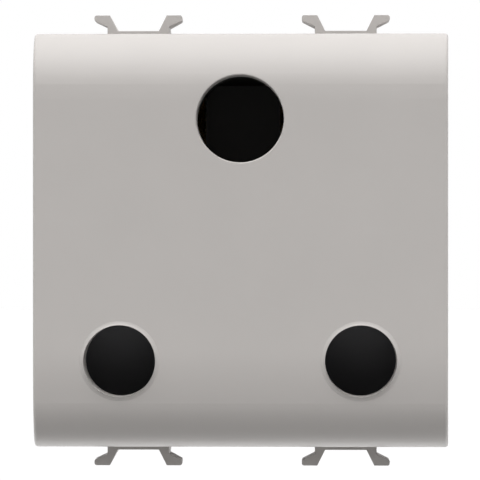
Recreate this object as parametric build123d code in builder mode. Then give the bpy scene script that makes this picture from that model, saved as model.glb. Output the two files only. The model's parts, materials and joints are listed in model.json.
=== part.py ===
"""Snap-in socket outlet for plugs with three round pins, two modules wide.

Millimetres. +X is right, +Z is up and +Y runs back into the wall. The origin is the middle of the
seating plane, where the rear edge of the face meets the support frame.
"""

import os
from math import cos, radians, sin, sqrt, tan

from build123d import *

# Plug pins and the pattern of their holes
PIN_SPACING = 25.4
EARTH_RISE = 25.5
LINE_DROP = 12.7
LINE_PIN_DIAMETER = 7.05
EARTH_PIN_DIAMETER = 8.7
LINE_PIN_LENGTH = 18.6
EARTH_PIN_LENGTH = 28.6
PIN_HOLE_PLAY = 0.5
PIN_TIP_ROOM = 0.9

# Face of the cover
FACE_SIDE_MARGIN = 9.1
FACE_END_MARGIN = 9.4
FACE_PROUD = 7.6
SIDE_DRAFT = 3.2
ROLL_RADIUS = 6.3
UPPER_EASE = 1.55
UPPER_EASE_ANGLE = 5.3
LOWER_EASE = 5.5
LOWER_EASE_ANGLE = 12.0
EDGE_ROUND = 0.35
COVER_WALL = 2.2
PIN_TUNNEL = 3.6
COLLAR_WALL = 1.2
RIM_ROUND = 0.12

# Skirt of the cover, behind the seating plane
SEAT_STEP = 1.15
SIDE_STEP = 0.3
SKIRT_DEPTH = 9.0
SKIRT_WALL = 1.6
SKIRT_CORNER = 1.0
PILLAR_SIZE = 2.0

# Snap prongs
CLIP_PITCH = 22.5
FRAME_RAIL = 2.1
CLIP_DEPTH = 6.5
BAR_RISE = 0.55
BAR_HALF_WIDTH = 3.34
PRONG_RISE = 2.25
STEM_WIDTH = 1.1
PRONG_LEAN = 0.85
HOOK_REACH = 1.42
HOOK_TIP = 0.6
HOOK_THROAT = 1.05
HOOK_ROUND = 0.25
LEAD_IN_LENGTH = 5.6
LEAD_IN_DROP = 2.0
TONGUE_SLIT = 0.8
TONGUE_ROOT = 1.2

# Safety shutter and its springs
SLIDE_PLAY = 0.3
SHUTTER_DEPTH = 6.4
SHUTTER_TRAVEL = 8.0
SHUTTER_LAP = 0.45
SHUTTER_WALL = 1.3
BRIDGE_HEIGHT = 5.4
BRIDGE_DEPTH = 4.8
SPRING_PITCH_ACROSS = 19.0
SPRING_LENGTH = 15.6
SPRING_DIAMETER = 4.0
SPRING_WIRE = 0.45
SPRING_TURNS = 6
PEG_LENGTH = 2.4
LEDGE_THICKNESS = 1.8
GUIDE_RIB = 1.2

# Inner plate
PLATE_THICKNESS = 1.8
TUBE_WALL = 1.0
GUIDE_PLAY = 1.1

# Contacts and their springs
STRIP = 0.8
GRIP = 0.25
GRIP_LENGTH = 2.6
LEAF_FLARE = 0.6
LEAF_FLARE_LENGTH = 1.8
LEAF_TAPER = 2.0
LEAF_OPENING = 0.35
LEAF_MARGIN = 0.3
BEND_RADIUS = 0.7
STRAP_WIDTH = 7.0
CLIP_STRIP = 0.5
CONTACT_SETBACK = 0.4

# Terminals
TERMINAL_WIDTH = 9.8
TERMINAL_HEIGHT = 9.2
SCREW_DIAMETER = 3.5
SCREW_PLAY = 0.1
HEAD_DIAMETER = 6.8
HEAD_HEIGHT = 2.2
SCREW_SLOT = 1.0
WIRE_ROOM = 4.4
CLAMP_WIDTH = 8.0
CLAMP_HEIGHT = 7.4
CLAMP_THICKNESS = 1.2
CLAMP_LIP = 0.7
CLAMP_REST_GAP = 0.1
THREAD_COLLAR = 1.6

# Contact housing
FIT_GAP = 0.15
PART_GAP = 0.3
HOUSING_WALL = 1.4
REAR_WALL = 2.4
ACCESS_DIAMETER = 6.0
HOUSING_ROUND = 1.0
JOINT_CHAMFER = 0.35
ENTRY_CHAMFER = 0.7
HOOK_SPACING = 18.0
HOOK_WIDTH = 5.6
HOOK_HEIGHT = 1.1
HOOK_LENGTH = 2.4

# Pin axes
live_x = PIN_SPACING / 2
neutral_x = -PIN_SPACING / 2
line_z = -LINE_DROP
earth_z = EARTH_RISE - LINE_DROP
line_hole_radius = (LINE_PIN_DIAMETER + PIN_HOLE_PLAY) / 2
earth_hole_radius = (EARTH_PIN_DIAMETER + PIN_HOLE_PLAY) / 2
line_guide_radius = (LINE_PIN_DIAMETER + GUIDE_PLAY) / 2
earth_guide_radius = (EARTH_PIN_DIAMETER + GUIDE_PLAY) / 2

# Outline of the face and of the skirt
face_width = PIN_SPACING + 2 * FACE_SIDE_MARGIN
face_height = EARTH_RISE + 2 * FACE_END_MARGIN
seat_width = face_width + 2 * FACE_PROUD * tan(radians(SIDE_DRAFT))
face_y = -FACE_PROUD
cover_inside_y = face_y + COVER_WALL
collar_y = face_y + PIN_TUNNEL
skirt_width = face_width - 2 * SIDE_STEP
skirt_height = face_height - 2 * SEAT_STEP
cavity_width = skirt_width - 2 * SKIRT_WALL
cavity_height = skirt_height - 2 * SKIRT_WALL
cavity_roll = ROLL_RADIUS - COVER_WALL

# Depths of the inner pieces
shutter_front_y = collar_y + SLIDE_PLAY
shutter_back_y = shutter_front_y + SHUTTER_DEPTH
plate_front_y = shutter_back_y + SLIDE_PLAY
plate_back_y = plate_front_y + PLATE_THICKNESS
contact_front_y = plate_back_y + CONTACT_SETBACK
clamp_travel = WIRE_ROOM - CLAMP_LIP - CLAMP_REST_GAP
screw_tip_y = face_y + LINE_PIN_LENGTH + PIN_TIP_ROOM + clamp_travel
terminal_front_y = screw_tip_y + PART_GAP + THREAD_COLLAR
terminal_back_y = terminal_front_y + STRIP
clamp_front_y = terminal_back_y + WIRE_ROOM
clamp_back_y = clamp_front_y + CLAMP_THICKNESS
head_back_y = clamp_back_y + HEAD_HEIGHT
well_floor_y = head_back_y + PART_GAP
block_back_y = well_floor_y + REAR_WALL
earth_floor_y = face_y + EARTH_PIN_LENGTH + PART_GAP
body_back_y = earth_floor_y + HOUSING_WALL

# Heights of the shutter at rest
shutter_low_z = line_z - line_hole_radius - SHUTTER_LAP
shutter_top_z = line_z + line_hole_radius + SHUTTER_LAP
bridge_top_z = shutter_top_z + BRIDGE_HEIGHT
shutter_pad_width = 2 * (line_hole_radius + SHUTTER_LAP)
spring_y = shutter_front_y + BRIDGE_DEPTH / 2
ledge_z = bridge_top_z + SPRING_LENGTH
peg_radius = SPRING_DIAMETER / 2 - SPRING_WIRE - SLIDE_PLAY

# Grip of the contacts
line_leaf_half = LINE_PIN_DIAMETER / 2 + LEAF_MARGIN
earth_leaf_half = EARTH_PIN_DIAMETER / 2 + LEAF_MARGIN
grip_start_y = contact_front_y + LEAF_FLARE_LENGTH
web_front_y = grip_start_y + GRIP_LENGTH + LEAF_TAPER
line_cell_half = max(LINE_PIN_DIAMETER / 2 + LEAF_FLARE + STRIP, TERMINAL_WIDTH / 2) + PART_GAP
earth_cell_half = EARTH_PIN_DIAMETER / 2 + LEAF_FLARE + STRIP + PART_GAP
terminal_low_z = line_z - TERMINAL_HEIGHT / 2


def section_at(y):
    """Plane across the depth at y, drawn as seen from the front: local X is X, local Y is Z."""
    return Plane.XZ.offset(-y)


def pin_circles(line_radius, earth_radius):
    """Three circles on the pin axes, for the sketch that is open."""
    with Locations((live_x, line_z), (neutral_x, line_z)):
        Circle(line_radius)
    with Locations((0, earth_z)):
        Circle(earth_radius)


def rolled_end(side, ease, ease_angle):
    """Upper (1) or lower (-1) end of the face, from the seat to the start of the flat, which it returns."""
    ease_radius = ease / sin(radians(ease_angle))
    roll_y = face_y + ease_radius - (ease_radius - ROLL_RADIUS) * cos(radians(ease_angle))
    end = Line((0, side * face_height / 2), (roll_y, side * face_height / 2))
    roll = JernArc(end @ 1, end % 1, ROLL_RADIUS, side * (90 - ease_angle))
    return JernArc(roll @ 1, roll % 1, ease_radius, side * ease_angle) @ 1


# Snap prongs in front view, drawn about the axis of one pair
prong_base_z = face_height / 2 + BAR_RISE
prong_top_z = face_height / 2 + PRONG_RISE
throat_z = face_height / 2 + HOOK_THROAT
stem_inside = BAR_HALF_WIDTH - STEM_WIDTH
hook_tip_x = BAR_HALF_WIDTH + HOOK_REACH
with BuildSketch() as clip_shape:
    with BuildLine():
        Polyline(
            (stem_inside, prong_base_z - BAR_RISE),
            (stem_inside, prong_base_z),
            (stem_inside + PRONG_LEAN, prong_top_z),
            (hook_tip_x, prong_top_z),
            (hook_tip_x, prong_top_z - HOOK_TIP),
            (BAR_HALF_WIDTH, throat_z),
            (BAR_HALF_WIDTH, prong_base_z - BAR_RISE),
            close=True,
        )
    make_face()
    fillet(clip_shape.vertices().group_by(Axis.X)[-1], HOOK_ROUND)
    mirror(about=Plane.YZ)
    with Locations((0, prong_base_z)):
        Rectangle(2 * BAR_HALF_WIDTH, SEAT_STEP + 2 * BAR_RISE, align=(Align.CENTER, Align.MAX))

# Front cover: rolled face, skirt and snap prongs in one moulding
with BuildPart() as front_cover:
    # Face block, drawn from the side: a flat that eases into the roll at each end
    with BuildSketch(Plane.YZ):
        with BuildLine():
            flat_top = rolled_end(1, UPPER_EASE, UPPER_EASE_ANGLE)
            flat_foot = rolled_end(-1, LOWER_EASE, LOWER_EASE_ANGLE)
            Line(flat_top, flat_foot)
            Line((0, face_height / 2), (0, -face_height / 2))
        make_face()
    extrude(amount=seat_width / 2, both=True)

    # Its sides, which widen from the face to the seat
    with BuildSketch():
        with BuildLine():
            Polyline(
                (face_width / 2, face_y),
                (seat_width / 2, 0),
                (-seat_width / 2, 0),
                (-face_width / 2, face_y),
                close=True,
            )
        make_face()
    extrude(amount=face_height / 2, both=True, mode=Mode.INTERSECT)
    sides = front_cover.faces().sort_by(Axis.X)
    rear_edges = front_cover.edges().group_by(Axis.Y)[-1]
    fillet(sides[0].edges() + sides[-1].edges() - rear_edges, EDGE_ROUND)

    # Skirt that passes through the support frame
    with BuildSketch(section_at(SKIRT_DEPTH)):
        RectangleRounded(skirt_width, skirt_height, SKIRT_CORNER)
    extrude(amount=SKIRT_DEPTH)

    # Four pairs of prongs behind the rail of the support frame
    with BuildSketch(section_at(FRAME_RAIL + CLIP_DEPTH)):
        with GridLocations(CLIP_PITCH, 0, 2, 1):
            add(clip_shape.sketch)
        mirror(about=Plane.XZ)
    extrude(amount=CLIP_DEPTH)
    with BuildSketch(Plane.YZ):
        with BuildLine():
            Polyline(
                (FRAME_RAIL + CLIP_DEPTH - LEAD_IN_LENGTH, prong_top_z),
                (FRAME_RAIL + CLIP_DEPTH, prong_top_z),
                (FRAME_RAIL + CLIP_DEPTH, prong_top_z - LEAD_IN_DROP),
                close=True,
            )
        make_face()
        mirror(about=Plane.XZ)
    extrude(amount=seat_width / 2, both=True, mode=Mode.SUBTRACT)

    # Hollow inside, open to the rear
    with BuildSketch(Plane.YZ) as cavity_side:
        with Locations((cover_inside_y, 0)):
            Rectangle(SKIRT_DEPTH - cover_inside_y, cavity_height, align=(Align.MIN, Align.CENTER))
        fillet(cavity_side.vertices().group_by(Axis.X)[0], cavity_roll)
    extrude(amount=cavity_width / 2, both=True, mode=Mode.SUBTRACT)

    # Slits that make a springy tongue under each pair of prongs
    with BuildSketch(section_at(SKIRT_DEPTH)):
        with GridLocations(CLIP_PITCH, 0, 2, 1):
            with GridLocations(2 * BAR_HALF_WIDTH + TONGUE_SLIT, 0, 2, 1):
                Rectangle(TONGUE_SLIT, skirt_height)
    extrude(amount=SKIRT_DEPTH - TONGUE_ROOT, mode=Mode.SUBTRACT)

    # Windows for the hooks of the contact housing
    with BuildSketch(Plane.YZ):
        with Locations((plate_back_y + HOOK_LENGTH / 2 + PART_GAP, 0)):
            with GridLocations(0, HOOK_SPACING, 1, 2):
                Rectangle(HOOK_LENGTH + 2 * PART_GAP, HOOK_WIDTH + 2 * PART_GAP)
    extrude(amount=seat_width / 2, both=True, mode=Mode.SUBTRACT)

    # Corner pillars that press on the inner plate
    pillar_reach = cavity_width / 2 - PILLAR_SIZE / 2
    with BuildSketch(section_at(plate_front_y)):
        with GridLocations(2 * pillar_reach, cavity_height - PILLAR_SIZE, 2, 2):
            Rectangle(PILLAR_SIZE, PILLAR_SIZE)
    extrude(until=Until.NEXT)

    # Collars of the pin holes
    with BuildSketch(section_at(collar_y)):
        pin_circles(line_hole_radius + COLLAR_WALL, earth_hole_radius + COLLAR_WALL)
    extrude(until=Until.NEXT)
    with BuildSketch(section_at(collar_y)):
        pin_circles(line_hole_radius, earth_hole_radius)
    extrude(amount=PIN_TUNNEL + ROLL_RADIUS, mode=Mode.SUBTRACT)

    # Ledges that take the thrust of the shutter springs, each with a peg
    with BuildSketch(Plane.XY.offset(ledge_z)):
        with Locations((0, cover_inside_y)):
            with GridLocations(SPRING_PITCH_ACROSS, 0, 2, 1):
                Rectangle(
                    SPRING_DIAMETER + COLLAR_WALL,
                    shutter_front_y + BRIDGE_DEPTH - cover_inside_y,
                    align=(Align.CENTER, Align.MIN),
                )
    extrude(amount=LEDGE_THICKNESS)
    with BuildSketch(Plane.XY.offset(ledge_z)):
        with Locations((0, spring_y)):
            with GridLocations(SPRING_PITCH_ACROSS, 0, 2, 1):
                Circle(peg_radius)
    extrude(amount=-PEG_LENGTH)

    # Ribs that guide the sides of the shutter
    guide_x = live_x + shutter_pad_width / 2 + SLIDE_PLAY + GUIDE_RIB / 2
    guide_height = bridge_top_z + SHUTTER_TRAVEL - shutter_low_z
    with BuildSketch(section_at(plate_front_y)):
        with Locations((guide_x, shutter_low_z), (-guide_x, shutter_low_z)):
            Rectangle(GUIDE_RIB, guide_height, align=(Align.CENTER, Align.MIN))
    extrude(until=Until.NEXT)

    # Stop under the bridge of the shutter
    with BuildSketch(section_at(shutter_front_y + BRIDGE_DEPTH)):
        with Locations((0, shutter_top_z)):
            Rectangle(SPRING_DIAMETER, LEDGE_THICKNESS, align=(Align.CENTER, Align.MAX))
    extrude(until=Until.NEXT)

    # Soft rims where the pins enter
    rims = front_cover.edges().filter_by(GeomType.LINE, reverse=True)
    rims = rims.filter_by(lambda edge: edge.center().Y < cover_inside_y)
    on_holes = []
    for x, z, radius in (
        (live_x, line_z, line_hole_radius),
        (neutral_x, line_z, line_hole_radius),
        (0, earth_z, earth_hole_radius),
    ):
        for edge in rims:
            middle = edge.center()
            if abs(Vector(middle.X - x, 0, middle.Z - z).length - radius) < PIN_HOLE_PLAY / 2:
                on_holes.append(edge)
    fillet(on_holes, RIM_ROUND)
front_cover.part.label = "front_cover"

# Safety shutter: two ramps joined by a bridge
with BuildPart() as shutter:
    with BuildSketch(Plane.YZ) as ramp_side:
        with BuildLine():
            Polyline(
                (shutter_front_y, shutter_top_z),
                (shutter_front_y, shutter_top_z - 2 * SHUTTER_LAP),
                (shutter_back_y, shutter_low_z),
                (shutter_back_y, shutter_top_z),
                close=True,
            )
        make_face()
    extrude(amount=live_x + shutter_pad_width / 2, both=True)
    with BuildSketch(Plane.YZ):
        with Locations((shutter_front_y, line_z)):
            Rectangle(SHUTTER_DEPTH, face_height, align=(Align.MIN, Align.CENTER))
    extrude(amount=live_x - shutter_pad_width / 2, both=True, mode=Mode.SUBTRACT)

    # Bridge that carries the springs
    with BuildSketch(section_at(shutter_front_y + BRIDGE_DEPTH)):
        with Locations((0, shutter_top_z)):
            Rectangle(PIN_SPACING + shutter_pad_width, BRIDGE_HEIGHT, align=(Align.CENTER, Align.MIN))
    extrude(amount=BRIDGE_DEPTH)
    with BuildSketch(Plane.XY.offset(bridge_top_z)):
        with Locations((0, spring_y)):
            with GridLocations(SPRING_PITCH_ACROSS, 0, 2, 1):
                Circle(peg_radius)
    extrude(amount=PEG_LENGTH)

    # Hollow backs of the ramps and of the bridge
    with BuildSketch(Plane.YZ):
        with BuildLine():
            Polyline(
                (shutter_front_y + 2 * SHUTTER_WALL, shutter_top_z),
                (shutter_back_y, shutter_top_z),
                (shutter_back_y, shutter_low_z + 2 * SHUTTER_WALL),
                close=True,
            )
        make_face()
    extrude(amount=live_x + shutter_pad_width / 2 - SHUTTER_WALL, both=True, mode=Mode.SUBTRACT)
    with BuildSketch(section_at(shutter_front_y + BRIDGE_DEPTH)):
        with Locations((0, shutter_top_z + BRIDGE_HEIGHT / 2)):
            bridge_width = PIN_SPACING + shutter_pad_width
            Rectangle(bridge_width - 2 * SHUTTER_WALL, BRIDGE_HEIGHT - 2 * SHUTTER_WALL)
            with GridLocations(SPRING_PITCH_ACROSS, 0, 2, 1):
                Rectangle(SHUTTER_WALL, BRIDGE_HEIGHT, mode=Mode.SUBTRACT)
    extrude(amount=BRIDGE_DEPTH - SHUTTER_WALL, mode=Mode.SUBTRACT)
shutter.part.label = "shutter"


def coil_spring(x):
    """Coil spring standing on the bridge of the shutter, at x."""
    radius = (SPRING_DIAMETER - SPRING_WIRE) / 2
    height = SPRING_LENGTH - SPRING_WIRE
    foot = (x, spring_y, bridge_top_z + SPRING_WIRE / 2)
    with BuildPart() as spring:
        with BuildLine() as coil:
            Helix(pitch=height / SPRING_TURNS, height=height, radius=radius, center=foot)
        with BuildSketch(Plane(origin=coil.line @ 0, z_dir=coil.line % 0)):
            Circle(SPRING_WIRE / 2)
        sweep()
    return spring


shutter_spring_left = coil_spring(-SPRING_PITCH_ACROSS / 2)
shutter_spring_left.part.label = "shutter_spring_left"
shutter_spring_right = coil_spring(SPRING_PITCH_ACROSS / 2)
shutter_spring_right.part.label = "shutter_spring_right"

# Inner plate: guides the pins and closes the contact housing
tube_radius = earth_guide_radius + TUBE_WALL
tube_rise = earth_z + tube_radius + PART_GAP - (cavity_height / 2 - cavity_roll)
roll_depth = cavity_roll - sqrt(max(cavity_roll**2 - tube_rise**2, 0))
tube_front_y = max(collar_y + PART_GAP, cover_inside_y + roll_depth)
with BuildPart() as inner_plate:
    with BuildSketch(section_at(plate_back_y)):
        Rectangle(cavity_width - 2 * FIT_GAP, cavity_height - 2 * FIT_GAP)
    extrude(amount=PLATE_THICKNESS)
    with BuildSketch(section_at(plate_front_y)):
        with Locations((0, earth_z)):
            Circle(tube_radius)
    extrude(amount=plate_front_y - tube_front_y)
    with BuildSketch(section_at(plate_back_y)):
        pin_circles(line_guide_radius, earth_guide_radius)
    extrude(amount=plate_back_y - face_y, mode=Mode.SUBTRACT)
inner_plate.part.label = "inner_plate"


def contact(axis_x, axis_z, pin_diameter, leaf_half, web_side):
    """Folded contact strip: two leaves around a pin, a web along one side and a terminal plate."""
    grip_radius = pin_diameter / 2 - GRIP + STRIP / 2
    open_radius = pin_diameter / 2 + LEAF_OPENING + STRIP / 2
    web_z = axis_z + web_side * (leaf_half + STRIP / 2)
    with BuildPart() as strip:
        # Leaves, drawn from above
        with BuildSketch(Plane((axis_x, 0, axis_z - leaf_half))):
            with BuildLine():
                FilletPolyline(
                    (pin_diameter / 2 + LEAF_FLARE + STRIP / 2, contact_front_y),
                    (grip_radius, grip_start_y),
                    (grip_radius, grip_start_y + GRIP_LENGTH),
                    (open_radius, web_front_y),
                    (open_radius, terminal_back_y),
                    radius=BEND_RADIUS,
                )
            trace(line_width=STRIP)
            mirror(about=Plane.YZ)
        extrude(amount=2 * leaf_half)

        # Web that joins the leaves
        with BuildSketch(Plane((axis_x, web_front_y, web_z - STRIP / 2))):
            Rectangle(
                2 * open_radius + STRIP,
                terminal_back_y - web_front_y,
                align=(Align.CENTER, Align.MIN),
            )
        extrude(amount=STRIP)

        # Terminal plate, with a strap where the terminal lies away from the pin
        with BuildSketch(section_at(terminal_back_y)):
            with Locations((axis_x, line_z)):
                Rectangle(TERMINAL_WIDTH, TERMINAL_HEIGHT)
            with Locations((axis_x, web_z + STRIP / 2)):
                strap_length = web_z + STRIP / 2 - line_z
                Rectangle(STRAP_WIDTH, strap_length, align=(Align.CENTER, Align.MAX))
        extrude(amount=STRIP)

        # Drawn collar for the thread
        with BuildSketch(section_at(terminal_front_y)):
            with Locations((axis_x, line_z)):
                Circle(SCREW_DIAMETER / 2 + STRIP)
        extrude(amount=THREAD_COLLAR)
        with BuildSketch(section_at(terminal_back_y)):
            with Locations((axis_x, line_z)):
                Circle((SCREW_DIAMETER + SCREW_PLAY) / 2)
        extrude(amount=STRIP + THREAD_COLLAR, mode=Mode.SUBTRACT)

        # Rounded outside of the bends
        bends = strip.edges().filter_by(Axis.Y)
        far_side = bends.sort_by(lambda edge: web_side * edge.center().Z)[-2:]
        fillet(far_side, BEND_RADIUS)
    return strip


live_contact = contact(live_x, line_z, LINE_PIN_DIAMETER, line_leaf_half, 1)
live_contact.part.label = "live_contact"
neutral_contact = contact(neutral_x, line_z, LINE_PIN_DIAMETER, line_leaf_half, 1)
neutral_contact.part.label = "neutral_contact"
earth_contact = contact(0, earth_z, EARTH_PIN_DIAMETER, earth_leaf_half, -1)
earth_contact.part.label = "earth_contact"


def contact_spring(axis_x, axis_z, pin_diameter, leaf_half, web_side):
    """Steel clip that presses the two leaves of a contact together."""
    side = pin_diameter / 2 - GRIP + STRIP + SCREW_PLAY + CLIP_STRIP / 2
    back = axis_z + web_side * (leaf_half + SCREW_PLAY + CLIP_STRIP / 2)
    tip = axis_z - web_side * leaf_half / 2
    with BuildPart() as clip:
        with BuildSketch(section_at(grip_start_y + GRIP_LENGTH - BEND_RADIUS / 2)):
            with BuildLine():
                FilletPolyline(
                    (axis_x - side, tip),
                    (axis_x - side, back),
                    (axis_x + side, back),
                    (axis_x + side, tip),
                    radius=CLIP_STRIP,
                )
            trace(line_width=CLIP_STRIP)
        extrude(amount=GRIP_LENGTH - BEND_RADIUS)
    return clip


live_contact_spring = contact_spring(live_x, line_z, LINE_PIN_DIAMETER, line_leaf_half, 1)
live_contact_spring.part.label = "live_contact_spring"
neutral_contact_spring = contact_spring(neutral_x, line_z, LINE_PIN_DIAMETER, line_leaf_half, 1)
neutral_contact_spring.part.label = "neutral_contact_spring"
earth_contact_spring = contact_spring(0, earth_z, EARTH_PIN_DIAMETER, earth_leaf_half, -1)
earth_contact_spring.part.label = "earth_contact_spring"


def clamp_plate(x):
    """Saddle that presses the wires onto the terminal plate at x."""
    with BuildPart() as saddle:
        with BuildSketch(section_at(clamp_back_y)):
            with Locations((x, line_z)):
                Rectangle(CLAMP_WIDTH, CLAMP_HEIGHT)
        extrude(amount=CLAMP_THICKNESS)
        with BuildSketch(section_at(clamp_front_y)):
            with Locations((x, line_z)):
                with GridLocations(CLAMP_WIDTH - STRIP, 0, 2, 1):
                    Rectangle(STRIP, CLAMP_HEIGHT)
        extrude(amount=CLAMP_LIP)
        with BuildSketch(section_at(clamp_back_y)):
            with Locations((x, line_z)):
                Circle((SCREW_DIAMETER + 2 * PART_GAP) / 2)
        extrude(amount=CLAMP_THICKNESS, mode=Mode.SUBTRACT)
    return saddle


live_clamp_plate = clamp_plate(live_x)
live_clamp_plate.part.label = "live_clamp_plate"
neutral_clamp_plate = clamp_plate(neutral_x)
neutral_clamp_plate.part.label = "neutral_clamp_plate"
earth_clamp_plate = clamp_plate(0)
earth_clamp_plate.part.label = "earth_clamp_plate"


def terminal_screw(x):
    """Captive clamp screw at x, its slotted head to the rear."""
    with BuildPart() as screw:
        with BuildSketch(section_at(head_back_y)):
            with Locations((x, line_z)):
                Circle(HEAD_DIAMETER / 2)
        extrude(amount=HEAD_HEIGHT)
        fillet(screw.edges().group_by(Axis.Y)[-1], HEAD_HEIGHT / 6)
        with BuildSketch(section_at(clamp_back_y)):
            with Locations((x, line_z)):
                Circle(SCREW_DIAMETER / 2)
        extrude(amount=clamp_back_y - screw_tip_y)
        chamfer(screw.edges().group_by(Axis.Y)[0], SCREW_DIAMETER / 8)
        with BuildSketch(section_at(head_back_y)):
            with Locations((x, line_z)):
                Rectangle(HEAD_DIAMETER, SCREW_SLOT)
                Rectangle(SCREW_SLOT, HEAD_DIAMETER / 2)
        extrude(amount=HEAD_HEIGHT / 2, mode=Mode.SUBTRACT)
    return screw


live_terminal_screw = terminal_screw(live_x)
live_terminal_screw.part.label = "live_terminal_screw"
neutral_terminal_screw = terminal_screw(neutral_x)
neutral_terminal_screw.part.label = "neutral_terminal_screw"
earth_terminal_screw = terminal_screw(0)
earth_terminal_screw.part.label = "earth_terminal_screw"

# Contact housing: cells from the front, terminal wells from the rear
terminal_points = [(live_x, line_z), (0, line_z), (neutral_x, line_z)]
block_top_z = line_z + TERMINAL_HEIGHT / 2 + HOUSING_WALL
body_low_z = -skirt_height / 2
earth_cell_low = earth_z - earth_leaf_half - STRIP - PART_GAP
well_half_height = CLAMP_HEIGHT / 2 + PART_GAP
with BuildPart() as contact_housing:
    # Body behind the skirt with the terminal block on its lower half, drawn from the side
    with BuildSketch(Plane.YZ) as body_side:
        with BuildLine():
            Polyline(
                (SKIRT_DEPTH, -skirt_height / 2),
                (block_back_y, -skirt_height / 2),
                (block_back_y, block_top_z),
                (body_back_y, block_top_z),
                (body_back_y, skirt_height / 2),
                (SKIRT_DEPTH, skirt_height / 2),
                close=True,
            )
        make_face()
        fillet(body_side.vertices() - body_side.vertices().group_by(Axis.X)[0], HOUSING_ROUND)
    extrude(amount=skirt_width / 2, both=True)
    front_edges = contact_housing.edges().group_by(Axis.Y)[0]
    fillet(contact_housing.faces().filter_by(Axis.X).edges() - front_edges, HOUSING_ROUND / 2)
    chamfer(contact_housing.edges().group_by(Axis.Y)[0], JOINT_CHAMFER)

    # Front part, inside the skirt of the cover
    with BuildSketch(section_at(SKIRT_DEPTH)):
        Rectangle(cavity_width - 2 * FIT_GAP, cavity_height - 2 * FIT_GAP)
    extrude(amount=SKIRT_DEPTH - plate_back_y)

    # Cells of the line and neutral contacts
    with BuildSketch(section_at(terminal_back_y)):
        cell_low = terminal_low_z - PART_GAP
        cell_top = line_z + line_leaf_half + STRIP + CLIP_STRIP + PART_GAP
        with Locations((live_x, cell_low), (neutral_x, cell_low)):
            Rectangle(2 * line_cell_half, cell_top - cell_low, align=(Align.CENTER, Align.MIN))
        # Channel of the earth strap, down to its terminal
        with Locations((0, cell_low)):
            Rectangle(
                TERMINAL_WIDTH + 2 * PART_GAP,
                TERMINAL_HEIGHT + 2 * PART_GAP,
                align=(Align.CENTER, Align.MIN),
            )
            Rectangle(STRAP_WIDTH + 2 * PART_GAP, earth_z - cell_low, align=(Align.CENTER, Align.MIN))
    extrude(amount=terminal_back_y - plate_back_y, mode=Mode.SUBTRACT)

    # Deeper cell of the earth contact
    with BuildSketch(section_at(earth_floor_y)):
        with Locations((0, earth_cell_low)):
            cell_height = earth_z + earth_leaf_half + PART_GAP - earth_cell_low
            Rectangle(2 * earth_cell_half, cell_height, align=(Align.CENTER, Align.MIN))
    extrude(amount=earth_floor_y - plate_back_y, mode=Mode.SUBTRACT)

    # Pockets that keep the walls even
    pocket_left = max(earth_cell_half, STRAP_WIDTH / 2) + HOUSING_WALL
    pocket_right = cavity_width / 2 - FIT_GAP - HOUSING_WALL
    pocket_low = cell_top + HOUSING_WALL
    pocket_top = cavity_height / 2 - FIT_GAP - HOUSING_WALL
    with BuildSketch(section_at(earth_floor_y)):
        with Locations(((pocket_left + pocket_right) / 2, (pocket_low + pocket_top) / 2)):
            Rectangle(pocket_right - pocket_left, pocket_top - pocket_low)
        mirror(about=Plane.YZ)
    extrude(amount=earth_floor_y - plate_back_y, mode=Mode.SUBTRACT)

    # Recess behind the strap, from the rear
    recess_low = block_top_z + HOUSING_WALL
    with BuildSketch(section_at(body_back_y)):
        with Locations((0, recess_low)):
            recess_height = earth_cell_low - HOUSING_WALL - recess_low
            Rectangle(STRAP_WIDTH, recess_height, align=(Align.CENTER, Align.MIN))
    extrude(amount=body_back_y - terminal_back_y - HOUSING_WALL, mode=Mode.SUBTRACT)

    # Terminal wells, wire entries and holes for the screwdriver
    with BuildSketch(section_at(well_floor_y)):
        with Locations(*terminal_points):
            Rectangle(CLAMP_WIDTH + 2 * PART_GAP, 2 * well_half_height)
    extrude(amount=well_floor_y - terminal_back_y, mode=Mode.SUBTRACT)
    with BuildSketch(section_at(clamp_front_y)):
        with Locations(*terminal_points):
            Rectangle(CLAMP_WIDTH, line_z - body_low_z, align=(Align.CENTER, Align.MAX))
    extrude(amount=WIRE_ROOM, mode=Mode.SUBTRACT)
    with BuildSketch(section_at(block_back_y)):
        with Locations(*terminal_points):
            Circle(ACCESS_DIAMETER / 2)
    extrude(amount=REAR_WALL, mode=Mode.SUBTRACT)
    for outside in (
        contact_housing.faces().sort_by(Axis.Y)[-1],
        contact_housing.faces().sort_by(Axis.Z)[0],
    ):
        chamfer([edge for wire in outside.inner_wires() for edge in wire.edges()], ENTRY_CHAMFER)

    # Hooks that snap into the windows of the cover
    hook_root = cavity_width / 2 - FIT_GAP
    for z in (-HOOK_SPACING / 2, HOOK_SPACING / 2):
        with BuildSketch(Plane.XY.offset(z - HOOK_WIDTH / 2)):
            with BuildLine():
                Polyline(
                    (hook_root, plate_back_y + PART_GAP),
                    (hook_root + HOOK_HEIGHT, plate_back_y + PART_GAP + HOOK_LENGTH),
                    (hook_root, plate_back_y + PART_GAP + HOOK_LENGTH),
                    close=True,
                )
            make_face()
            mirror(about=Plane.YZ)
        extrude(amount=HOOK_WIDTH)
contact_housing.part.label = "contact_housing"

# One STEP file for each piece
os.makedirs("parts", exist_ok=True)
for piece in (
    front_cover,
    shutter,
    shutter_spring_left,
    shutter_spring_right,
    inner_plate,
    live_contact,
    neutral_contact,
    earth_contact,
    live_contact_spring,
    neutral_contact_spring,
    earth_contact_spring,
    live_clamp_plate,
    neutral_clamp_plate,
    earth_clamp_plate,
    live_terminal_screw,
    neutral_terminal_screw,
    earth_terminal_screw,
    contact_housing,
):
    export_step(piece.part, f"parts/{piece.part.label}.step")
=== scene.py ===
import json
import math

import bpy
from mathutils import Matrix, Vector
from mathutils.bvhtree import BVHTree

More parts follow.
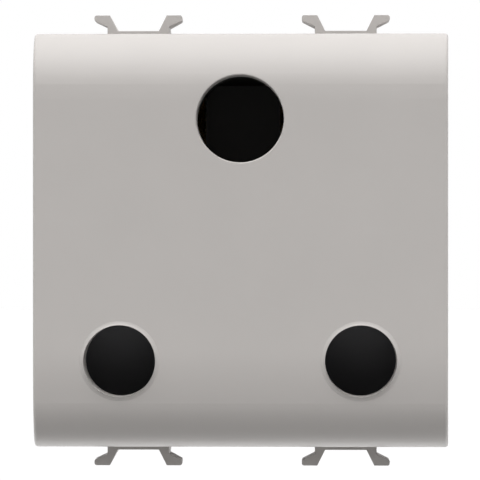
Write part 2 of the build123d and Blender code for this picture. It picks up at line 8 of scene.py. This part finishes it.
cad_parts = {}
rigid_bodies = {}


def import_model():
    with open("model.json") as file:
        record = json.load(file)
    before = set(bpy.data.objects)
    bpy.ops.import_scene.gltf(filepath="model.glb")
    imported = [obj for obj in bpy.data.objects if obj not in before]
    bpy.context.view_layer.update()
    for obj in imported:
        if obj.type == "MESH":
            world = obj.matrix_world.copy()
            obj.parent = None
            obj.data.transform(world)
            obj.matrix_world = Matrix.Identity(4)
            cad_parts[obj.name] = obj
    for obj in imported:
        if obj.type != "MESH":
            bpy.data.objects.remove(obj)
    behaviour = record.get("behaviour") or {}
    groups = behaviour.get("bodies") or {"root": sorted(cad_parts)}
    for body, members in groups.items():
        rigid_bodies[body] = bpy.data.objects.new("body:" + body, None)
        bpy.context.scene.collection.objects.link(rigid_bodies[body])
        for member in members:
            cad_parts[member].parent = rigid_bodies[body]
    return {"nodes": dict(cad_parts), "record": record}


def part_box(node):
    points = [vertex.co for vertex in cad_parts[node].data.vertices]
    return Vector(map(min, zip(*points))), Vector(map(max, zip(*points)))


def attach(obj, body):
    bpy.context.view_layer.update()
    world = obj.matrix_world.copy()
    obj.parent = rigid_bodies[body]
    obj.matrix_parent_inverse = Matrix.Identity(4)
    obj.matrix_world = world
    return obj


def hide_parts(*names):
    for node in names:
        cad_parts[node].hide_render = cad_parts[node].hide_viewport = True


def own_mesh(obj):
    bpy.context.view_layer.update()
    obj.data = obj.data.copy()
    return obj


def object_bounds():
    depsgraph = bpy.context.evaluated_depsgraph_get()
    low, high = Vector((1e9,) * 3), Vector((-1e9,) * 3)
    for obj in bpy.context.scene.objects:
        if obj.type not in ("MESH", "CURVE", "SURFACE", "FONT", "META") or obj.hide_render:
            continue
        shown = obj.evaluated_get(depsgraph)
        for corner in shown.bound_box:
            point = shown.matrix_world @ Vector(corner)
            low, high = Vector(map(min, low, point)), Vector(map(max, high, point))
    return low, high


# Metres, in the frame of the solids: +X right, +Z up, +Y back into the wall
MM = 0.001
BACK = Vector((0, 1, 0))

# View: straight at the face, a little from the right
EYE = Vector((6.6, -307.6, 0.4)) * MM
AIM = Vector((0.0, -7.6, 0.05)) * MM
LENS_MM = 214.3
SENSOR_MM = 36.0
NEAREST_SEEN = 10 * MM

# Floor: the share of light that it throws back, and its glow where it is seen
FLOOR_DROP = 60 * MM
FLOOR_HALF = 3.0
FLOOR_BOUNCE = (0.285, 0.285, 0.285)
FLOOR_GLOW = 0.515

# Sky, by unit directions: a soft lobe above the front, and a low band that lights the sides and the back
LOBE_RISE = math.radians(70)
LOBE_POWER = 4.0
LOBE_LEVEL = 5.40
BAND_TOP = 0.4
BAND_FROM = -0.2
BAND_FULL = 0.1
BAND_LEVEL = 4.0
WHITE = (1, 1, 1, 1)

# Light table on the floor, behind the part
PANEL_BACK = 75 * MM
PANEL_LIFT = 1 * MM
PANEL_SIZE = (360 * MM, 100 * MM)
PANEL_WATTS = 0.125

# Raised terminal marks: strokes in units of their height, as seen from the rear
MARK_HEIGHT = 2.1 * MM
MARK_BEAD = 0.16 * MM
MARK_BEAD_STEPS = 3
MARK_DROP = 5.7 * MM
MARKS = {
    "live": [[(-0.3, 0.5), (-0.3, -0.5), (0.3, -0.5)]],
    "neutral": [[(-0.35, -0.5), (-0.35, 0.5), (0.35, -0.5), (0.35, 0.5)]],
    "earth": [
        [(0, 0.5), (0, 0)],
        [(-0.5, 0), (0.5, 0)],
        [(-0.32, -0.25), (0.32, -0.25)],
        [(-0.14, -0.5), (0.14, -0.5)],
    ],
}

# Raised lips of the line and neutral holes. The face's level is read outside the round of the hole's own rim.
LIP_POLES = ("live", "neutral")
LIP_HEIGHT = 0.2 * MM
LIP_WIDTH = 0.42 * MM
LIP_ROOT = 0.1 * MM
LIP_HOLLOW = 2
LIP_SECTION_STEPS = 8
LIP_TURN_STEPS = 144
RIM_ROUND = 0.12 * MM
PROBE_GAP = 1 * MM

# Surface detail. Most of a noise's values lie between NOISE_LOW and NOISE_HIGH.
NOISE_LOW = 0.3
NOISE_HIGH = 0.7
EDGE_RADIUS = 0.07 * MM
MOTTLE_SIZE = 9.0 * MM
MOTTLE_DETAIL = 3.0
GRAIN_SIZE = 0.16 * MM
GRAIN_DETAIL = 2.0
GRAIN_DEPTH = 0.02 * MM
GRAIN_ROUGHNESS = 0.05
STAIN_SIZE = 2.5 * MM
STAIN_DETAIL = 4.0
LINE_SIZE = 0.12 * MM
LINE_DETAIL = 3.0
LINE_DEPTH = 0.01 * MM
LINE_BUMP = 0.12
LINE_ROUGHNESS = 0.08

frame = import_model()
cad_low, cad_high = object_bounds()
mounts = {mount["name"]: mount for mount in frame["record"]["mounts"]}


def add_object(name, data):
    """A new object in the scene."""
    made = bpy.data.objects.new(name, data)
    bpy.context.scene.collection.objects.link(made)
    return made


def fill_socket(tree, socket, value):
    """Link another node's socket to this one, or set it to a plain value."""
    if isinstance(value, bpy.types.NodeSocket):
        tree.links.new(value, socket)
    else:
        socket.default_value = value


def add_node(tree, kind, **inputs):
    """A new node, with its named inputs set or linked."""
    node = tree.nodes.new(kind)
    for name, value in inputs.items():
        fill_socket(tree, node.inputs[name.replace("_", " ")], value)
    return node


def add_math(tree, operation, first, second):
    """A Math node of two inputs, each a number or a socket."""
    node = tree.nodes.new("ShaderNodeMath")
    node.operation = operation
    fill_socket(tree, node.inputs[0], first)
    fill_socket(tree, node.inputs[1], second)
    return node.outputs[0]


def add_range(tree, value, start, end, low, high):
    """The value from start to end taken to low to high, and held there beyond."""
    limits = {"From_Min": start, "From_Max": end, "To_Min": low, "To_Max": high}
    return add_node(tree, "ShaderNodeMapRange", Value=value, **limits).outputs["Result"]


def noise(tree, size, detail, stretch=(1, 1, 1)):
    """Noise with features of about that size, in the object's own space."""
    place = add_node(tree, "ShaderNodeTexCoord")
    scaled = add_node(tree, "ShaderNodeMapping", Vector=place.outputs["Object"], Scale=stretch)
    return add_node(
        tree, "ShaderNodeTexNoise", Vector=scaled.outputs["Vector"], Scale=1 / size, Detail=detail
    ).outputs["Fac"]


def spread(tree, factor, middle, swing):
    """A number that follows the noise from middle - swing to middle + swing."""
    return add_range(tree, factor, NOISE_LOW, NOISE_HIGH, middle - swing, middle + swing)


def tint(tree, factor, low, high):
    """A colour that follows the noise from low to high."""
    ramp = add_node(tree, "ShaderNodeValToRGB", Fac=factor)
    stops = ramp.color_ramp.elements
    for stop, position, colour in ((stops[0], NOISE_LOW, low), (stops[1], NOISE_HIGH, high)):
        stop.position = position
        stop.color = (*colour, 1)
    return ramp.outputs["Color"]


def start_material(name):
    """A new material with a Principled shader and nothing else."""
    material = bpy.data.materials.new(name)
    material.use_nodes = True
    tree = material.node_tree
    tree.nodes.clear()
    shader = tree.nodes.new("ShaderNodeBsdfPrincipled")
    add_node(tree, "ShaderNodeOutputMaterial", Surface=shader.outputs["BSDF"])
    return material, tree, shader


def shade_edges(tree, shader, height, strength, depth):
    """Softened edges, with the height as a fine bump over them."""
    edge = add_node(tree, "ShaderNodeBevel", Radius=EDGE_RADIUS).outputs["Normal"]
    bump = add_node(tree, "ShaderNodeBump", Height=height, Normal=edge, Strength=strength, Distance=depth)
    fill_socket(tree, shader.inputs["Normal"], bump.outputs["Normal"])


def plastic(name, colour, vary, roughness, specular, grain):
    """Moulded plastic: a faint mottle in the colour, and a fine spark-eroded grain."""
    material, tree, shader = start_material(name)
    mottle = noise(tree, MOTTLE_SIZE, MOTTLE_DETAIL)
    low = tuple(c * (1 - vary) for c in colour)
    high = tuple(c * (1 + vary) for c in colour)
    fill_socket(tree, shader.inputs["Base Color"], tint(tree, mottle, low, high))
    fine = noise(tree, GRAIN_SIZE, GRAIN_DETAIL)
    fill_socket(tree, shader.inputs["Roughness"], spread(tree, fine, roughness, GRAIN_ROUGHNESS))
    shader.inputs["Specular IOR Level"].default_value = specular
    shade_edges(tree, shader, fine, grain, GRAIN_DEPTH)
    return material


def metal(name, dark, light, roughness, stretch):
    """Rolled or drawn metal: fine lines along its length and a little stain."""
    material, tree, shader = start_material(name)
    stain = noise(tree, STAIN_SIZE, STAIN_DETAIL)
    fill_socket(tree, shader.inputs["Base Color"], tint(tree, stain, dark, light))
    lines = noise(tree, LINE_SIZE, LINE_DETAIL, stretch)
    fill_socket(tree, shader.inputs["Roughness"], spread(tree, lines, roughness, LINE_ROUGHNESS))
    shader.inputs["Metallic"].default_value = 1.0
    shade_edges(tree, shader, lines, LINE_BUMP, LINE_DEPTH)
    return material


def make_coil(joint, spring):
    """Shutter spring: a copy of its mesh in place of the CAD node, carried by the joint's parent body."""
    node = frame["nodes"][spring["node"]]
    coil = add_object(spring["node"].replace("spring", "coil"), node.data.copy())
    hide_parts(spring["node"])
    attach(coil, joint["parent"])
    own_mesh(coil)


def make_mark(pole, strokes):
    """Raised mark of one terminal on the rear of the housing, below its screw."""
    low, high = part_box(f"{pole}_terminal_screw")
    screw = (low + high) / 2
    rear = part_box("contact_housing")[1].y
    curve = bpy.data.curves.new(f"{pole}_mark", "CURVE")
    curve.dimensions = "3D"
    curve.bevel_depth = MARK_BEAD
    curve.bevel_resolution = MARK_BEAD_STEPS
    curve.use_fill_caps = True
    for stroke in strokes:
        line = curve.splines.new("POLY")
        line.points.add(len(stroke) - 1)
        for point, (across, up) in zip(line.points, stroke):
            # Seen from the rear, right is towards -X
            point.co = (screw.x - across * MARK_HEIGHT, rear, screw.z - MARK_DROP + up * MARK_HEIGHT, 1)
    curve.materials.append(finishes["housing_plastic"])
    mark = add_object(f"{pole}_mark", curve)
    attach(mark, "socket_body")


def lip_section():
    """Points (outward from the hole, forward of the face) round the lip's section, with a hollow flank."""
    points = [(0.0, -LIP_ROOT)]
    for step in range(LIP_SECTION_STEPS + 1):
        share = step / LIP_SECTION_STEPS
        points.append((LIP_WIDTH * share, LIP_HEIGHT * (1 - share) ** LIP_HOLLOW))
    points.append((LIP_WIDTH, -LIP_ROOT))
    return points


def face_level(face, place):
    """The y of the face, straight behind or before the place."""
    start = Vector((place.x, cad_low.y - PROBE_GAP, place.z))
    return face.ray_cast(start, BACK)[0].y


def lip_points(hole, face, section):
    """The section's points at each turn round the hole, laid on the curved face."""
    centre = Vector(hole["pos_m"])
    radius = hole["dims"]["r_mm"] * MM
    points = []
    for turn in range(LIP_TURN_STEPS):
        angle = math.tau * turn / LIP_TURN_STEPS
        outward = Vector((math.sin(angle), 0, math.cos(angle)))
        near = face_level(face, centre + outward * (radius + RIM_ROUND))
        far = face_level(face, centre + outward * (radius + LIP_WIDTH))
        slope = (far - near) / (LIP_WIDTH - RIM_ROUND)
        for offset, rise in section:
            point = centre + outward * (radius + offset)
            point.y = near + slope * (offset - RIM_ROUND) - rise
            points.append(point)
    return points


def make_lip(pole, face):
    """Raised lip round one pin hole: a closed ring of its section."""
    section = lip_section()
    size = len(section)
    faces = []
    for turn in range(LIP_TURN_STEPS):
        here = turn * size
        there = (turn + 1) % LIP_TURN_STEPS * size
        for step in range(size):
            after = (step + 1) % size
            faces.append((here + step, there + step, there + after, here + after))
    mesh = bpy.data.meshes.new(f"{pole}_hole_lip")
    mesh.from_pydata(lip_points(mounts[f"{pole}_pin_hole"], face, section), [], faces)
    # The flank is smooth, while the lip's inner wall, its foot and its root stay plain
    for polygon in mesh.polygons:
        polygon.use_smooth = 1 <= polygon.index % size <= LIP_SECTION_STEPS
    mesh.materials.append(finishes["cover_plastic"])
    lip = add_object(f"{pole}_hole_lip", mesh)
    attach(lip, "socket_body")


def seen_rays(tree):
    """1 for a ray that shows the background: straight, in a reflection or through glass."""
    ray = tree.nodes.new("ShaderNodeLightPath")
    seen = ray.outputs["Is Camera Ray"]
    for kind in ("Is Glossy Ray", "Is Transmission Ray"):
        seen = add_math(tree, "MAXIMUM", seen, ray.outputs[kind])
    return seen


def make_floor():
    """Pale floor below the part. The eye sees it white, with the shadow left on it."""
    mesh = bpy.data.meshes.new("floor")
    z = cad_low.z - FLOOR_DROP
    corners = [(x * FLOOR_HALF, y * FLOOR_HALF, z) for x, y in ((-1, -1), (1, -1), (1, 1), (-1, 1))]
    mesh.from_pydata(corners, [], [(0, 1, 2, 3)])
    material = bpy.data.materials.new("floor")
    material.use_nodes = True
    tree = material.node_tree
    tree.nodes.clear()
    matt = add_node(tree, "ShaderNodeBsdfDiffuse", Color=(*FLOOR_BOUNCE, 1))
    level = add_math(tree, "MULTIPLY", seen_rays(tree), FLOOR_GLOW)
    glow = add_node(tree, "ShaderNodeEmission", Strength=level)
    both = tree.nodes.new("ShaderNodeAddShader")
    tree.links.new(matt.outputs[0], both.inputs[0])
    tree.links.new(glow.outputs[0], both.inputs[1])
    add_node(tree, "ShaderNodeOutputMaterial", Surface=both.outputs[0])
    mesh.materials.append(material)
    floor = add_object("floor", mesh)


def sky_level(tree):
    """How bright the sky is in each direction: the lobe plus the low band."""
    direction = tree.nodes.new("ShaderNodeTexCoord").outputs["Generated"]
    towards = tree.nodes.new("ShaderNodeVectorMath")
    towards.operation = "DOT_PRODUCT"
    tree.links.new(direction, towards.inputs[0])
    towards.inputs[1].default_value = (0, -math.cos(LOBE_RISE), math.sin(LOBE_RISE))
    lobe = add_math(tree, "MAXIMUM", towards.outputs["Value"], 0.0)
    lobe = add_math(tree, "POWER", lobe, LOBE_POWER)
    lobe = add_math(tree, "MULTIPLY", lobe, LOBE_LEVEL)
    parts = add_node(tree, "ShaderNodeSeparateXYZ", Vector=direction)
    low = add_range(tree, parts.outputs["Z"], 0.0, BAND_TOP, BAND_LEVEL, 0.0)
    behind = add_range(tree, parts.outputs["Y"], BAND_FROM, BAND_FULL, 0.0, 1.0)
    return add_math(tree, "ADD", lobe, add_math(tree, "MULTIPLY", low, behind))


def make_world():
    """The soft sky, which is plain white where it is seen."""
    world = bpy.data.worlds.new("studio")
    bpy.context.scene.world = world
    world.use_nodes = True
    tree = world.node_tree
    tree.nodes.clear()
    sky = add_node(tree, "ShaderNodeBackground", Color=WHITE, Strength=sky_level(tree))
    white = add_node(tree, "ShaderNodeBackground", Color=WHITE)
    mix = add_node(tree, "ShaderNodeMixShader", Fac=seen_rays(tree))
    tree.links.new(sky.outputs[0], mix.inputs[1])
    tree.links.new(white.outputs[0], mix.inputs[2])
    add_node(tree, "ShaderNodeOutputWorld", Surface=mix.outputs[0])


def make_panel():
    """Light table: a soft lamp that lies just above the floor, behind the part, and faces up."""
    lamp = bpy.data.lights.new("light_table", "AREA")
    lamp.shape = "RECTANGLE"
    lamp.size, lamp.size_y = PANEL_SIZE
    lamp.energy = PANEL_WATTS
    holder = add_object("light_table", lamp)
    holder.location = (0, PANEL_BACK, cad_low.z - FLOOR_DROP + PANEL_LIFT)
    holder.rotation_euler = (math.pi, 0, 0)
    holder.visible_camera = False


def make_camera():
    """Long lens, about level with the middle of the face."""
    camera = bpy.data.cameras.new("camera")
    camera.lens = LENS_MM
    camera.sensor_width = SENSOR_MM
    camera.clip_start = NEAREST_SEEN
    holder = add_object("camera", camera)
    holder.location = EYE
    holder.rotation_euler = (AIM - EYE).to_track_quat("-Z", "Y").to_euler()
    bpy.context.scene.camera = holder


# Finishes, by the record's material slots
finishes = {
    "cover_plastic": plastic(
        "cover_satin", colour=(0.450, 0.428, 0.412), vary=0.012, roughness=0.42, specular=0.35, grain=0.06
    ),
    "inner_plastic": plastic(
        "inner_black", colour=(0.070, 0.070, 0.074), vary=0.05, roughness=0.70, specular=0.15, grain=0.12
    ),
    "housing_plastic": plastic(
        "housing_black", colour=(0.030, 0.030, 0.032), vary=0.06, roughness=0.52, specular=0.45, grain=0.22
    ),
    "contact_brass": metal(
        "brass_strip", dark=(0.66, 0.46, 0.20), light=(0.78, 0.58, 0.29), roughness=0.30, stretch=(1, 0.08, 1)
    ),
    "spring_steel": metal(
        "spring_wire", dark=(0.44, 0.44, 0.45), light=(0.60, 0.60, 0.60), roughness=0.28, stretch=(1, 1, 0.2)
    ),
    "zinc_steel": metal(
        "zinc_plate", dark=(0.60, 0.61, 0.62), light=(0.74, 0.74, 0.72), roughness=0.30, stretch=(1, 1, 1)
    ),
}
for part in frame["record"]["subparts"]:
    node = frame["nodes"][part["node"]]
    node.material_slots[0].material = finishes[part["material_slot"]]

# Pieces
for joint in frame["record"]["behaviour"]["joints"]:
    for spring in joint.get("deforming_nodes", []):
        make_coil(joint, spring)
for pole, strokes in MARKS.items():
    make_mark(pole, strokes)
cover = frame["nodes"]["front_cover"].data
skin = BVHTree.FromPolygons([v.co for v in cover.vertices], [p.vertices[:] for p in cover.polygons])
for pole in LIP_POLES:
    make_lip(pole, skin)

# Studio and view
make_floor()
make_world()
make_panel()
make_camera()
bpy.context.scene.view_settings.view_transform = "Standard"
